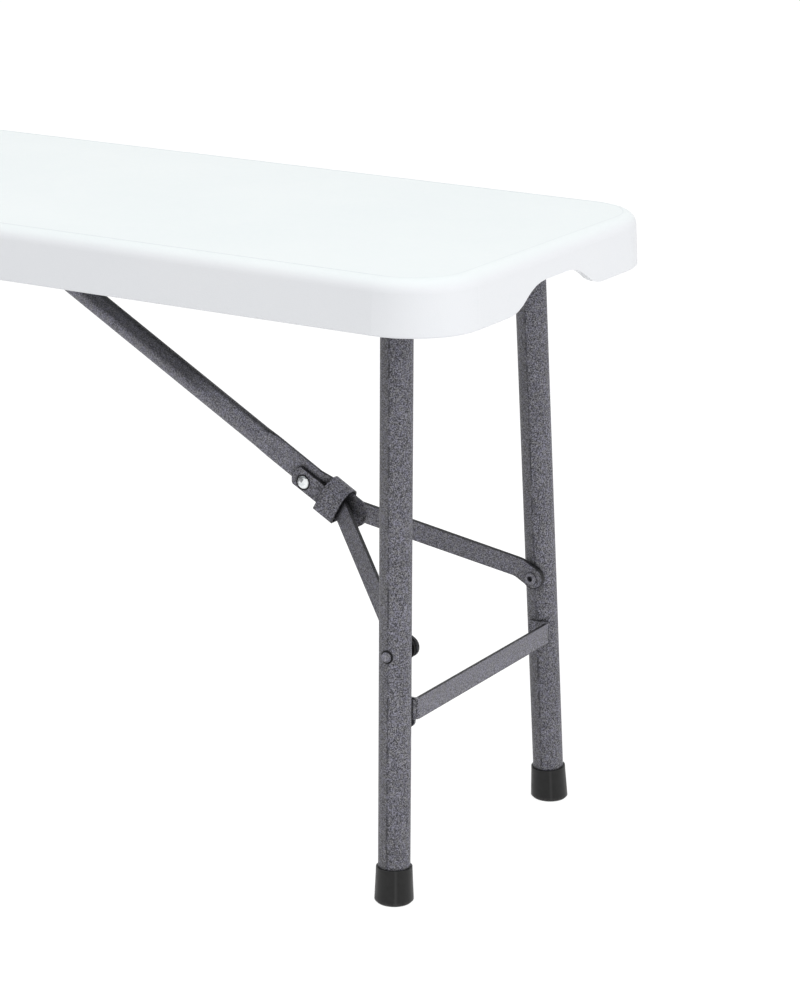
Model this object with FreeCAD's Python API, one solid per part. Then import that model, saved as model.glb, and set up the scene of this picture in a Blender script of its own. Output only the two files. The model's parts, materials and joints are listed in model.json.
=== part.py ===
import FreeCAD, Part
import math
import os

# Folding bench: a blow-moulded seat on two folding leg sets, one at each end.
# The frame stands on the floor at Z = 0, under the middle of the seat.
# X runs along the seat, -Y is the front, and each leg set mirrors the other.
# Lengths are millimetres and angles are degrees.

# Seat moulding
SEAT_LENGTH = 1832.0
SEAT_WIDTH = 309.3
SEAT_HEIGHT = 440.0
SKIRT_DEPTH = 37.0
SKIRT_DRAFT = 2.0
SKIRT_THICKNESS = 5.0
SKIRT_BEVEL = 1.0
CORNER_RADIUS = 50.0
TOP_EDGE_RADIUS = 9.0
DECK_THICKNESS = 15.0
SKIN = 3.0
VOID_INSET = 8.0
NOTCH_HEIGHT = 16.5
NOTCH_FLAT = 30.0
NOTCH_MOUTH = 136.0
POCKET_LENGTH = 60.0
POCKET_WIDTH = 18.0
POCKET_DEPTH = 9.0
POCKET_DRAFT = 3.0
POCKET_PITCH = 120.0
POCKET_ROWS = (32.0, 84.0)

# Steel rails under the seat
RAIL_LENGTH = 1720.0
RAIL_WIDTH = 12.0
RAIL_HEIGHT = 14.0
RAIL_SHEET = 1.5
RAIL_SCREWS = 3

# Leg set
HINGE_INSET = 70.5
HINGE_DROP = 27.7
LEG_INSET = 65.75
LEG_SPLAY_OUT = 0.0338
LEG_SPLAY_SIDE = 0.0521
LEG_DIAMETER = 22.0
TUBE_WALL = 1.2
CROSS_TUBE_DIAMETER = 19.0
CROSS_TUBE_OVERHANG = 29.1

# Foot caps
CAP_HEIGHT = 24.5
CAP_TOP_DIAMETER = 24.8
CAP_FLOOR_DIAMETER = 27.0
CAP_SOLE = 4.0
CAP_EDGE = 1.4

# Cross strip between the two legs of a set
STRIP_DISTANCE = 279.3
STRIP_HEIGHT = 15.0
STRIP_THICKNESS = 2.0
STRIP_STANDOFF = 9.0
STRIP_BEND_RADIUS = 2.6
STRIP_EAR_LENGTH = 15.0
STRIP_EAR_DROP = 6.5

# Hinge plates that carry the cross tube
PLATE_THICKNESS = 2.5
PLATE_SIDE_PLAY = 0.6
PLATE_RADIUS = 15.0
PLATE_FLANGE_WIDTH = 22.0
PLATE_FLANGE_LENGTH = 56.0
PLATE_SCREW_SPACING = 38.0

# Brace of each leg set
BRACKET_DISTANCE = 413.0
BRACKET_DROP = 33.0
RIVET_DISTANCE = 238.4
KNEE_SAG = 1.1
FOLD_DROOP = 1.3
BRACE_DIAMETER = 16.0
BRACE_RISE = 4.2
FLAT_HEIGHT = 18.5
FLAT_THICKNESS = 6.0
FLAT_BEFORE_KNEE = 36.0
FLAT_PAST_KNEE = 6.0
FLAT_TRANSITION = 10.0
TOP_FLAT_LENGTH = 22.0
BLADE_LENGTH = 53.0
BLADE_HEIGHT = 22.4
BLADE_THICKNESS = 3.0
BAR_WIDTH = 15.0
BAR_THICKNESS = 2.5
BAR_RISE = 1.3
BAR_END = 10.3
BAR_END_CORNER = 7.0
BAR_STRAIGHT = 35.0
BAR_EAR_START = 12.0
BAR_BEND_RADIUS = 6.0

# Lock ring on the brace
RING_START = 17.0
RING_LENGTH = 17.3
RING_WALL = 1.2
RING_DEPTH_BELOW = 3.0
RING_SIDE_PLAY = 0.15
RING_CORNER_RADIUS = 1.0

# Brace bracket under the seat
BRACKET_SHEET = 2.5
BRACKET_LUG_RADIUS = 10.0
BRACKET_WIDTH = 52.0
BRACKET_BACK = 38.0
BRACKET_FRONT = 12.0
BRACKET_SCREW_SPACING = 38.0
BRACKET_SCREW_BACK = 24.0

# Rivets, pins and screws
BRACE_PIN_DIAMETER = 6.0
PIN_HEAD_DIAMETER = 10.0
PIN_HEAD_HEIGHT = 2.4
KNEE_RIVET_DIAMETER = 6.0
KNEE_HEAD_DIAMETER = 10.0
KNEE_HEAD_HEIGHT = 2.2
LEG_RIVET_DIAMETER = 5.0
LEG_HEAD_DIAMETER = 7.2
LEG_HEAD_HEIGHT = 1.4
LEG_HEAD_LIFT = 0.25
HEAD_BEVEL = 0.5
EYELET_FLANGE_DIAMETER = 9.4
EYELET_FLANGE_THICKNESS = 1.2
EYELET_BORE = 3.8
EYELET_DEPTH = 1.3
SPACER_DIAMETER = 16.6
SPACER_THICKNESS = 2.2
SCREW_DIAMETER = 4.2
SCREW_DEPTH = 8.0
SCREW_HEAD_DIAMETER = 7.6
SCREW_HEAD_HEIGHT = 2.4
BOSS_SIZE = 11.0

# Clearances
RUNNING_FIT = 0.05
SIDE_GAP = 0.3

# Places worked out from the sizes above
SEAT_HALF = SEAT_LENGTH / 2
SKIRT_BOTTOM = SEAT_HEIGHT - SKIRT_DEPTH
DECK_BOTTOM = SEAT_HEIGHT - DECK_THICKNESS
SPLAY_ANGLE = math.atan(LEG_SPLAY_OUT)
HINGE_X = SEAT_HALF - HINGE_INSET
HINGE_Z = SEAT_HEIGHT - HINGE_DROP
BRACKET_X = HINGE_X - BRACKET_DISTANCE
BRACKET_Z = SEAT_HEIGHT - BRACKET_DROP
LEG_SPREAD = SEAT_WIDTH - 2 * LEG_INSET
LEG_RADIUS = LEG_DIAMETER / 2
RIVET_X = HINGE_X + RIVET_DISTANCE * math.sin(SPLAY_ANGLE)
RIVET_Z = HINGE_Z - RIVET_DISTANCE * math.cos(SPLAY_ANGLE)
RIVET_LEG_Y = LEG_SPREAD / 2 + LEG_SPLAY_SIDE * (HINGE_Z - RIVET_Z)
SPACER_Y = RIVET_LEG_Y - LEG_RADIUS - SPACER_THICKNESS
EAR_Y = SPACER_Y - SIDE_GAP
BAR_Y = FLAT_THICKNESS / 2 + SIDE_GAP
STRIP_END_Y = LEG_SPREAD / 2 + LEG_SPLAY_SIDE * STRIP_DISTANCE - LEG_RADIUS + SIDE_GAP
RAIL_Y = SEAT_WIDTH / 2 - SKIRT_THICKNESS - SIDE_GAP - RAIL_WIDTH / 2
PLATE_Y = LEG_SPREAD / 2 + LEG_SPLAY_SIDE * PLATE_RADIUS + LEG_RADIUS + PLATE_SIDE_PLAY
PLATE_SCREW_Y = PLATE_Y + (PLATE_THICKNESS + PLATE_FLANGE_WIDTH) / 2
BRACKET_SCREW_X = BRACKET_X - BRACKET_SCREW_BACK

# The brace is a two-bar linkage from its bracket to the leg rivets. Unfolded, the knee
# hangs a little below the straight line between them, and folded, the two links lie on
# each other. The knee is the point that meets both, on a hyperbola about those ends.
FOLDED_RIVET_X = HINGE_X - RIVET_DISTANCE * math.cos(math.radians(FOLD_DROOP))
FOLDED_RIVET_Z = HINGE_Z - RIVET_DISTANCE * math.sin(math.radians(FOLD_DROOP))
OPEN_SPAN = math.hypot(RIVET_X - BRACKET_X, RIVET_Z - BRACKET_Z)
FOLDED_SPAN = math.hypot(FOLDED_RIVET_X - BRACKET_X, FOLDED_RIVET_Z - BRACKET_Z)
SAG_STRETCH = math.sqrt(1 + 4 * KNEE_SAG ** 2 / (OPEN_SPAN ** 2 - FOLDED_SPAN ** 2))
KNEE_ALONG = (OPEN_SPAN + FOLDED_SPAN * SAG_STRETCH) / 2
UPPER_LENGTH = math.hypot(KNEE_ALONG, KNEE_SAG)
LOWER_LENGTH = math.hypot(OPEN_SPAN - KNEE_ALONG, KNEE_SAG)
SPAN_ANGLE = math.atan2(BRACKET_Z - RIVET_Z, RIVET_X - BRACKET_X)
UPPER_ANGLE = math.degrees(SPAN_ANGLE + math.atan(KNEE_SAG / KNEE_ALONG))
LOWER_ANGLE = math.degrees(SPAN_ANGLE - math.atan(KNEE_SAG / (OPEN_SPAN - KNEE_ALONG)))
KNEE_X = BRACKET_X + UPPER_LENGTH * math.cos(math.radians(UPPER_ANGLE))
KNEE_Z = BRACKET_Z - UPPER_LENGTH * math.sin(math.radians(UPPER_ANGLE))

# Overshoot of cutting tools, and how close two places must be to count as one
OVER = 1.0
CLOSE = 0.01

X_AXIS = FreeCAD.Vector(1, 0, 0)
Y_AXIS = FreeCAD.Vector(0, 1, 0)
Z_AXIS = FreeCAD.Vector(0, 0, 1)
ORIGIN = FreeCAD.Vector(0, 0, 0)


def vec(x, y, z):
    return FreeCAD.Vector(x, y, z)


def block(x0, x1, y0, y1, z0, z1):
    return Part.makeBox(x1 - x0, y1 - y0, z1 - z0, vec(x0, y0, z0))


def y_cylinder(radius, x, z, y0, y1):
    return Part.makeCylinder(radius, y1 - y0, vec(x, y0, z), Y_AXIS)


def extrude(edges, direction):
    return Part.Face(Part.Wire(edges)).extrude(direction)


def line(a, b):
    return Part.LineSegment(a, b).toShape()


def arc(a, middle, b):
    return Part.Arc(a, middle, b).toShape()


def mirror_y(shape):
    return shape.mirror(ORIGIN, Y_AXIS)


def both_sides(shape):
    return [shape, mirror_y(shape)]


def seat_outline(inset, z):
    """Rounded rectangle round the seat at height z, moved inwards by inset."""
    half_x = SEAT_HALF - inset
    half_y = SEAT_WIDTH / 2 - inset
    radius = CORNER_RADIUS - inset
    flat_x = half_x - radius
    flat_y = half_y - radius
    reach = radius * math.sqrt(0.5)
    edges = []
    for sx, sy in ((1, 1), (-1, 1), (-1, -1), (1, -1)):
        from_side = vec(sx * half_x, sy * flat_y, z)
        from_end = vec(sx * flat_x, sy * half_y, z)
        middle = vec(sx * (flat_x + reach), sy * (flat_y + reach), z)
        start, end = (from_side, from_end) if sx == sy else (from_end, from_side)
        edges.append(arc(start, middle, end))
    corners = list(edges)
    for index, corner in enumerate(corners):
        following = corners[(index + 1) % len(corners)]
        corner_end = corner.valueAt(corner.LastParameter)
        edges.append(line(corner_end, following.valueAt(following.FirstParameter)))
    return Part.Wire(Part.__sortEdges__(edges))


def seat_prism(inset, z0, z1):
    return Part.Face(seat_outline(inset, z0)).extrude(Z_AXIS * (z1 - z0))


def edges_at(shape, z):
    """Edges that lie flat at height z."""
    return [e for e in shape.Edges if abs(e.BoundBox.ZMin - z) < CLOSE and abs(e.BoundBox.ZMax - z) < CLOSE]


def notch_prism():
    """Arch under both ends of the skirt, with S-shaped sides of two equal arcs."""
    flat = NOTCH_FLAT / 2
    mouth = NOTCH_MOUTH / 2
    top = SKIRT_BOTTOM + NOTCH_HEIGHT
    low = SKIRT_BOTTOM
    run = (mouth - flat) / 2
    rise = (top - low) / 2
    half_turn = math.atan2(rise, run)
    radius = run / math.sin(2 * half_turn)
    quarter_y = radius * math.sin(half_turn)
    quarter_z = radius * (1 - math.cos(half_turn))
    start = -SEAT_HALF - OVER

    def at(y, z):
        return vec(start, y, z)

    side = [arc(at(flat, top), at(flat + quarter_y, top - quarter_z), at(flat + run, low + rise))]
    side.append(arc(at(flat + run, low + rise), at(mouth - quarter_y, low + quarter_z), at(mouth, low)))
    side.append(line(at(mouth, low), at(mouth, low - OVER)))
    edges = side + [mirror_y(edge) for edge in side]
    edges.append(line(at(-flat, top), at(flat, top)))
    edges.append(line(at(-mouth, low - OVER), at(mouth, low - OVER)))
    return Part.Face(Part.Wire(Part.__sortEdges__(edges))).extrude(X_AXIS * 2 * (SEAT_HALF + OVER))


def frustum(x, y, grow):
    """Tapered tack-off pocket in the underside of the deck, larger all round by grow."""
    half_x = POCKET_LENGTH / 2 + grow
    half_y = POCKET_WIDTH / 2 + grow
    end_x = half_x - POCKET_DRAFT
    end_y = half_y - POCKET_DRAFT
    depth = POCKET_DEPTH + grow
    pocket = Part.makeWedge(-half_x, 0, -half_y, -end_y, -end_x, half_x, depth, half_y, end_y, end_x)
    pocket.rotate(ORIGIN, X_AXIS, 90)
    pocket.translate(vec(x, y, DECK_BOTTOM))
    return pocket


def pocket_places():
    """Pocket centres, in rows along the seat between the hinges."""
    count = int((HINGE_X - PLATE_FLANGE_LENGTH) / POCKET_PITCH)
    steps = range(-count, count + 1)
    return [(step * POCKET_PITCH, side * row) for step in steps for row in POCKET_ROWS for side in (-1, 1)]


def rail_screw_places():
    pitch = RAIL_LENGTH / RAIL_SCREWS
    first = (pitch - RAIL_LENGTH) / 2
    return [(first + pitch * i, side * RAIL_Y) for i in range(RAIL_SCREWS) for side in (-1, 1)]


def plate_screw_places(end):
    places = []
    for step in (-0.5, 0.5):
        for side in (-1, 1):
            places.append((end * (HINGE_X + step * PLATE_SCREW_SPACING), side * PLATE_SCREW_Y))
    return places


def bracket_screw_places(end):
    return [(end * BRACKET_SCREW_X, side * BRACKET_SCREW_SPACING / 2) for side in (-1, 1)]


def all_screw_places():
    places = rail_screw_places()
    for end in (-1, 1):
        places += plate_screw_places(end) + bracket_screw_places(end)
    return places


def seat_void():
    """Closed air space between the two skins of the deck, left solid round pockets and screws."""
    void = seat_prism(VOID_INSET, DECK_BOTTOM + SKIN, SEAT_HEIGHT - SKIN)
    solid = [frustum(x, y, SKIN) for x, y in pocket_places()]
    half = BOSS_SIZE / 2
    for x, y in all_screw_places():
        solid.append(block(x - half, x + half, y - half, y + half, DECK_BOTTOM, SEAT_HEIGHT))
    return void.cut(Part.makeCompound(solid))


def seat_top():
    outlines = [seat_outline(0, SKIRT_BOTTOM), seat_outline(SKIRT_DRAFT, SEAT_HEIGHT)]
    seat = Part.makeLoft(outlines, True, True)
    seat = seat.makeFillet(TOP_EDGE_RADIUS, edges_at(seat, SEAT_HEIGHT))
    seat = seat.makeChamfer(SKIRT_BEVEL, edges_at(seat, SKIRT_BOTTOM))
    seat = seat.cut(seat_prism(SKIRT_THICKNESS, SKIRT_BOTTOM - OVER, DECK_BOTTOM))
    cuts = [notch_prism()]
    cuts += [frustum(x, y, 0) for x, y in pocket_places()]
    for x, y in all_screw_places():
        cuts.append(Part.makeCylinder(SCREW_DIAMETER / 2, SCREW_DEPTH, vec(x, y, DECK_BOTTOM)))
    seat = seat.cut(Part.makeCompound(cuts))
    return seat.cut(seat_void())


def rail(side):
    """Channel with its web against the deck and its flanges down."""
    y0 = side * RAIL_Y - RAIL_WIDTH / 2
    channel = block(-RAIL_LENGTH / 2, RAIL_LENGTH / 2, y0, y0 + RAIL_WIDTH,
                    DECK_BOTTOM - RAIL_HEIGHT, DECK_BOTTOM)
    inside = block(-RAIL_LENGTH, RAIL_LENGTH, y0 + RAIL_SHEET, y0 + RAIL_WIDTH - RAIL_SHEET,
                   DECK_BOTTOM - 2 * RAIL_HEIGHT, DECK_BOTTOM - RAIL_SHEET)
    channel = channel.cut(inside)
    holes = [screw_hole(x, y) for x, y in rail_screw_places() if y * side > 0]
    return channel.cut(Part.makeCompound(holes))


def screw_hole(x, y):
    depth = 2 * RAIL_HEIGHT
    return Part.makeCylinder(SCREW_DIAMETER / 2, depth, vec(x, y, DECK_BOTTOM - depth))


def screw(x, y, sheet):
    """Flat round-headed screw that holds a sheet of this thickness up against the deck."""
    seat_z = DECK_BOTTOM - sheet
    head_base = vec(x, y, seat_z - SCREW_HEAD_HEIGHT)
    head = Part.makeCylinder(SCREW_HEAD_DIAMETER / 2, SCREW_HEAD_HEIGHT, head_base)
    shank = Part.makeCylinder(SCREW_DIAMETER / 2, sheet + SCREW_DEPTH, vec(x, y, seat_z))
    return head.fuse(shank)


def screw_group(places, sheet):
    return Part.makeCompound([screw(x, y, sheet) for x, y in places])


def leg_axis(side):
    """Unit direction of a leg, from the hinge axis down to the floor."""
    direction = vec(LEG_SPLAY_OUT, side * LEG_SPLAY_SIDE, -1)
    return direction.normalize()


def leg_start(side):
    return vec(HINGE_X, side * LEG_SPREAD / 2, HINGE_Z)


def leg_point(side, z):
    direction = leg_axis(side)
    return leg_start(side) + direction * ((z - HINGE_Z) / direction.z)


def leg_rod(side, radius, z_end):
    """Solid rod along a leg, from the hinge axis to the height z_end."""
    start = leg_start(side)
    return Part.makeCylinder(radius, (leg_point(side, z_end) - start).Length, start, leg_axis(side))


def leg_tube(side):
    tube = leg_rod(side, LEG_RADIUS, CAP_SOLE)
    tube = tube.cut(leg_rod(side, LEG_RADIUS - TUBE_WALL, 0))
    tube = tube.cut(y_cylinder(CROSS_TUBE_DIAMETER / 2, HINGE_X, HINGE_Z, -SEAT_WIDTH, SEAT_WIDTH))
    return tube.cut(y_cylinder(LEG_RIVET_DIAMETER / 2, RIVET_X, RIVET_Z, -SEAT_WIDTH, SEAT_WIDTH))


def cross_tube():
    half = LEG_SPREAD / 2 + CROSS_TUBE_OVERHANG
    tube = y_cylinder(CROSS_TUBE_DIAMETER / 2, HINGE_X, HINGE_Z, -half, half)
    return tube.cut(y_cylinder(CROSS_TUBE_DIAMETER / 2 - TUBE_WALL, HINGE_X, HINGE_Z, -half, half))


def foot_cap(side):
    """Tapered rubber cap on the leg, cut level with the floor."""
    direction = leg_axis(side)
    top = leg_point(side, CAP_HEIGHT)
    below = leg_point(side, -CAP_HEIGHT)
    grow = CAP_FLOOR_DIAMETER - CAP_TOP_DIAMETER
    cone = Part.makeCone(CAP_TOP_DIAMETER / 2, CAP_TOP_DIAMETER / 2 + grow, (below - top).Length,
                         top, direction)
    reach = 2 * CAP_FLOOR_DIAMETER
    under_floor = block(top.x - reach, top.x + reach, top.y - reach, top.y + reach, -2 * CAP_HEIGHT, 0)
    cap = cone.cut(under_floor)
    cap = cap.makeChamfer(CAP_EDGE, edges_at(cap, 0))
    return cap.cut(leg_rod(side, LEG_RADIUS, CAP_SOLE))


def leg_frame_shape(shape):
    """Turn a shape drawn with the hinge axis at the origin and the legs along -Z."""
    placed = shape.copy()
    placed.rotate(ORIGIN, Y_AXIS, -math.degrees(SPLAY_ANGLE))
    placed.translate(vec(HINGE_X, 0, HINGE_Z))
    return placed


def strip_ear():
    """Ear of the strip at the back leg, drawn with its rounded lower end, and the bend."""
    outer_y = STRIP_END_Y
    inner_y = outer_y - STRIP_THICKNESS
    front = STRIP_STANDOFF + STRIP_THICKNESS
    top = STRIP_HEIGHT / 2 - STRIP_DISTANCE
    web_bottom = -STRIP_HEIGHT / 2 - STRIP_DISTANCE
    bottom = web_bottom - STRIP_EAR_DROP
    ear = block(front - STRIP_EAR_LENGTH, front - STRIP_BEND_RADIUS, inner_y, outer_y, bottom, top)
    lower = [e for e in ear.Edges if abs(e.CenterOfMass.z - bottom) < CLOSE and e.BoundBox.YLength > CLOSE]
    ear = ear.makeFillet(STRIP_EAR_LENGTH / 3, lower)
    bend_x = front - STRIP_BEND_RADIUS
    bend_y = outer_y - STRIP_BEND_RADIUS
    axis_end = vec(bend_x, bend_y, web_bottom)
    outside = Part.makeCylinder(STRIP_BEND_RADIUS, STRIP_HEIGHT, axis_end, Z_AXIS)
    inside = Part.makeCylinder(STRIP_BEND_RADIUS - STRIP_THICKNESS, STRIP_HEIGHT, axis_end, Z_AXIS)
    quarter = block(bend_x, front, bend_y, outer_y, web_bottom, top)
    return ear.fuse(outside.cut(inside).common(quarter))


def cross_strip():
    """Flat strip in front of the legs, with its ends bent back and welded to their inner sides."""
    half = STRIP_END_Y - STRIP_BEND_RADIUS
    strip = block(STRIP_STANDOFF, STRIP_STANDOFF + STRIP_THICKNESS, -half, half,
                  -STRIP_HEIGHT / 2 - STRIP_DISTANCE, STRIP_HEIGHT / 2 - STRIP_DISTANCE)
    strip = leg_frame_shape(strip.fuse(both_sides(strip_ear())).removeSplitter())
    for side in (-1, 1):
        strip = strip.cut(leg_rod(side, LEG_RADIUS, 0))
    return strip


def hinge_plate(side):
    """Angle plate: a flange under the deck and a lug round the cross tube."""
    inner = PLATE_Y
    outer = PLATE_Y + PLATE_THICKNESS
    half = PLATE_FLANGE_LENGTH / 2
    flange = block(HINGE_X - half, HINGE_X + half, inner, inner + PLATE_FLANGE_WIDTH,
                   DECK_BOTTOM - PLATE_THICKNESS, DECK_BOTTOM)
    corners = [e for e in flange.Edges if e.BoundBox.ZLength > CLOSE and e.CenterOfMass.y > outer]
    flange = flange.makeFillet(PLATE_THICKNESS * 2, corners)
    lug = y_cylinder(PLATE_RADIUS, HINGE_X, HINGE_Z, inner, outer)
    above_deck = block(HINGE_X - half, HINGE_X + half, inner, outer, DECK_BOTTOM, SEAT_HEIGHT)
    shoulder = block(HINGE_X - PLATE_RADIUS, HINGE_X + PLATE_RADIUS, inner, outer, HINGE_Z, DECK_BOTTOM)
    lug = lug.fuse(shoulder).cut(above_deck)
    plate = flange.fuse(lug).removeSplitter()
    bore = y_cylinder(CROSS_TUBE_DIAMETER / 2 + RUNNING_FIT, HINGE_X, HINGE_Z, inner - OVER, outer + OVER)
    plate = plate.cut(bore)
    holes = [screw_hole(x, y) for x, y in plate_screw_places(1) if y > 0]
    plate = plate.cut(Part.makeCompound(holes))
    return plate if side > 0 else mirror_y(plate)


def button(radius, height, x, z, y):
    """Round head with a bevelled rim that stands out along +Y from y."""
    bevel = height * HEAD_BEVEL
    straight = y_cylinder(radius, x, z, y, y + height - bevel)
    cone = Part.makeCone(radius, radius - bevel, bevel, vec(x, y + height - bevel, z), Y_AXIS)
    return straight.fuse(cone)


def leg_rivets():
    """Painted rivets through the legs, with their heads on the outer side."""
    head_y = RIVET_LEG_Y + LEG_RADIUS + LEG_HEAD_LIFT
    shank = y_cylinder(LEG_RIVET_DIAMETER / 2, RIVET_X, RIVET_Z, SPACER_Y, head_y)
    head = button(LEG_HEAD_DIAMETER / 2, LEG_HEAD_HEIGHT, RIVET_X, RIVET_Z, head_y)
    return Part.makeCompound(both_sides(head.fuse(shank)))


def leg_spacers():
    """Plastic washers between the legs and the brace bars, trimmed where they meet the tubes."""
    spacer = y_cylinder(SPACER_DIAMETER / 2, RIVET_X, RIVET_Z, SPACER_Y, SPACER_Y + SPACER_THICKNESS)
    spacer = spacer.cut(y_cylinder(LEG_RIVET_DIAMETER / 2, RIVET_X, RIVET_Z, 0, SEAT_WIDTH))
    return Part.makeCompound(both_sides(spacer.cut(leg_rod(1, LEG_RADIUS, 0))))


def link_frame(shape, angle):
    """Turn a shape drawn along +X from the knee until it slopes down at this angle."""
    placed = shape.copy()
    placed.rotate(ORIGIN, Y_AXIS, angle)
    placed.translate(vec(KNEE_X, 0, KNEE_Z))
    return placed


def tube_section(x, height, thickness):
    """Closed section of four arcs, from a circle to a tube pressed nearly flat."""
    squash = (height - thickness) / 2
    end_radius = thickness / 2
    diagonal = end_radius * math.sqrt(0.5)
    corner_z = squash + diagonal
    top = vec(x, 0, BRACE_RISE + height / 2)
    bottom = vec(x, 0, BRACE_RISE - height / 2)
    corners = [vec(x, diagonal, BRACE_RISE + corner_z), vec(x, diagonal, BRACE_RISE - corner_z)]
    corners += [vec(x, -diagonal, BRACE_RISE - corner_z), vec(x, -diagonal, BRACE_RISE + corner_z)]
    edges = [arc(corners[0], vec(x, end_radius, BRACE_RISE), corners[1])]
    edges.append(arc(corners[1], bottom, corners[2]))
    edges.append(arc(corners[2], vec(x, -end_radius, BRACE_RISE), corners[3]))
    edges.append(arc(corners[3], top, corners[0]))
    return Part.Wire(edges)


def half_round_end(x_end, height, direction):
    """Region that ends a link of this height with a half round at x_end."""
    radius = height / 2
    centre = x_end - direction * radius
    x0, x1 = sorted((centre, centre - direction * 2 * UPPER_LENGTH))
    body = block(x0, x1, -BLADE_HEIGHT, BLADE_HEIGHT, BRACE_RISE - BLADE_HEIGHT, BRACE_RISE + BLADE_HEIGHT)
    return body.fuse(y_cylinder(radius, centre, BRACE_RISE, -BLADE_HEIGHT, BLADE_HEIGHT))


def upper_brace():
    """Round tube, pressed flat at its bracket and at the knee, and to a blade past the knee."""
    flat = (FLAT_HEIGHT, FLAT_THICKNESS)
    full = (BRACE_DIAMETER, BRACE_DIAMETER)
    blade = (BLADE_HEIGHT, BLADE_THICKNESS)
    start = -UPPER_LENGTH - FLAT_HEIGHT
    top_flat = -UPPER_LENGTH + TOP_FLAT_LENGTH
    top_round = top_flat + FLAT_TRANSITION
    low_round = -FLAT_BEFORE_KNEE - FLAT_TRANSITION
    blade_start = FLAT_PAST_KNEE + FLAT_TRANSITION
    stations = [(start, flat), (top_flat, flat), (top_round, full), (low_round, full)]
    stations += [(-FLAT_BEFORE_KNEE, flat), (FLAT_PAST_KNEE, flat), (blade_start, blade)]
    stations.append((BLADE_LENGTH + BLADE_HEIGHT, blade))
    pieces = []
    for (x0, before), (x1, after) in zip(stations, stations[1:]):
        section = tube_section(x0, *before)
        if before == after:
            pieces.append(Part.Face(section).extrude(X_AXIS * (x1 - x0)))
        else:
            pieces.append(Part.makeLoft([section, tube_section(x1, *after)], True, True))
    tube = pieces[0].fuse(pieces[1:])
    bore = Part.makeCylinder(BRACE_DIAMETER / 2 - TUBE_WALL, low_round - top_round,
                             vec(top_round, 0, BRACE_RISE), X_AXIS)
    tube = tube.cut(bore)
    tube = tube.common(half_round_end(BLADE_LENGTH, BLADE_HEIGHT, 1))
    tube = tube.common(half_round_end(-UPPER_LENGTH - FLAT_HEIGHT / 2, FLAT_HEIGHT, -1))
    pin = BRACE_PIN_DIAMETER / 2 + RUNNING_FIT
    rivet = KNEE_RIVET_DIAMETER / 2 + RUNNING_FIT
    tube = tube.cut(y_cylinder(pin, -UPPER_LENGTH, 0, -FLAT_HEIGHT, FLAT_HEIGHT))
    tube = tube.cut(y_cylinder(rivet, 0, 0, -FLAT_HEIGHT, FLAT_HEIGHT))
    return link_frame(tube, UPPER_ANGLE)


def left_of(direction):
    """Unit vector to the left of a direction in plan."""
    return vec(-direction.y, direction.x, 0)


def bent_strip(points, thickness, radius, z0, z1):
    """Flat bar that follows points in plan, with rounded bends, from z0 up to z1."""
    steps = [(b - a).normalize() for a, b in zip(points, points[1:])]
    sides = {thickness / 2: [], -thickness / 2: []}
    here = points[0]
    for corner, before, after in zip(points[1:], steps, steps[1:]):
        bend_radius = radius + thickness / 2
        reach = bend_radius * math.tan(before.getAngle(after) / 2)
        inward = left_of(before) * math.copysign(1, before.cross(after).z)
        bend_start = corner - before * reach
        bend_end = corner + after * reach
        centre = bend_start + inward * bend_radius
        toward = (corner - centre).normalize()
        for offset, edges in sides.items():
            first = bend_start + left_of(before) * offset
            last = bend_end + left_of(after) * offset
            edges.append(line(here + left_of(before) * offset, first))
            edges.append(arc(first, centre + toward * (first - centre).Length, last))
        here = bend_end
    final = left_of(steps[-1])
    for offset, edges in sides.items():
        edges.append(line(here + final * offset, points[-1] + final * offset))
    first_side, second_side = sides.values()
    start_cap = line(first_side[0].Vertexes[0].Point, second_side[0].Vertexes[0].Point)
    end_cap = line(first_side[-1].Vertexes[-1].Point, second_side[-1].Vertexes[-1].Point)
    outline = Part.Wire(Part.__sortEdges__(first_side + second_side + [start_cap, end_cap]))
    strip = Part.Face(outline).extrude(Z_AXIS * (z1 - z0))
    strip.translate(Z_AXIS * z0)
    return strip


def brace_bar(side):
    """Flat bar: straight by the knee, splayed out, then bent back beside the leg."""
    knee_y = BAR_Y + BAR_THICKNESS / 2
    ear_y = EAR_Y - BAR_THICKNESS / 2
    route = [vec(-BAR_WIDTH, knee_y, 0), vec(BAR_STRAIGHT, knee_y, 0)]
    route += [vec(LOWER_LENGTH - BAR_EAR_START, ear_y, 0), vec(LOWER_LENGTH + BAR_WIDTH, ear_y, 0)]
    low = BAR_RISE - BAR_WIDTH / 2
    high = BAR_RISE + BAR_WIDTH / 2
    bar = bent_strip(route, BAR_THICKNESS, BAR_BEND_RADIUS, low, high)
    ear_x = LOWER_LENGTH + BAR_RISE
    outline = [arc(vec(-BAR_END_CORNER, 0, high), vec(-BAR_END, 0, BAR_RISE), vec(-BAR_END_CORNER, 0, low))]
    outline.append(line(vec(-BAR_END_CORNER, 0, low), vec(ear_x, 0, low)))
    outline.append(arc(vec(ear_x, 0, low), vec(ear_x + BAR_WIDTH / 2, 0, BAR_RISE), vec(ear_x, 0, high)))
    outline.append(line(vec(ear_x, 0, high), vec(-BAR_END_CORNER, 0, high)))
    bar = bar.common(extrude(outline, Y_AXIS * SEAT_WIDTH))
    bar = bar.cut(y_cylinder(KNEE_RIVET_DIAMETER / 2, 0, 0, 0, SEAT_WIDTH))
    bar = bar.cut(y_cylinder(LEG_RIVET_DIAMETER / 2, LOWER_LENGTH, 0, 0, SEAT_WIDTH))
    if side < 0:
        bar = mirror_y(bar)
    return link_frame(bar, LOWER_ANGLE)


def dome(radius, height, y):
    """Shallow round rivet head that stands out along +Y from y."""
    sphere_radius = (radius * radius + height * height) / (2 * height)
    ball = Part.makeSphere(sphere_radius, vec(0, y + height - sphere_radius, 0))
    return ball.common(y_cylinder(radius, 0, 0, y, y + height))


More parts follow.
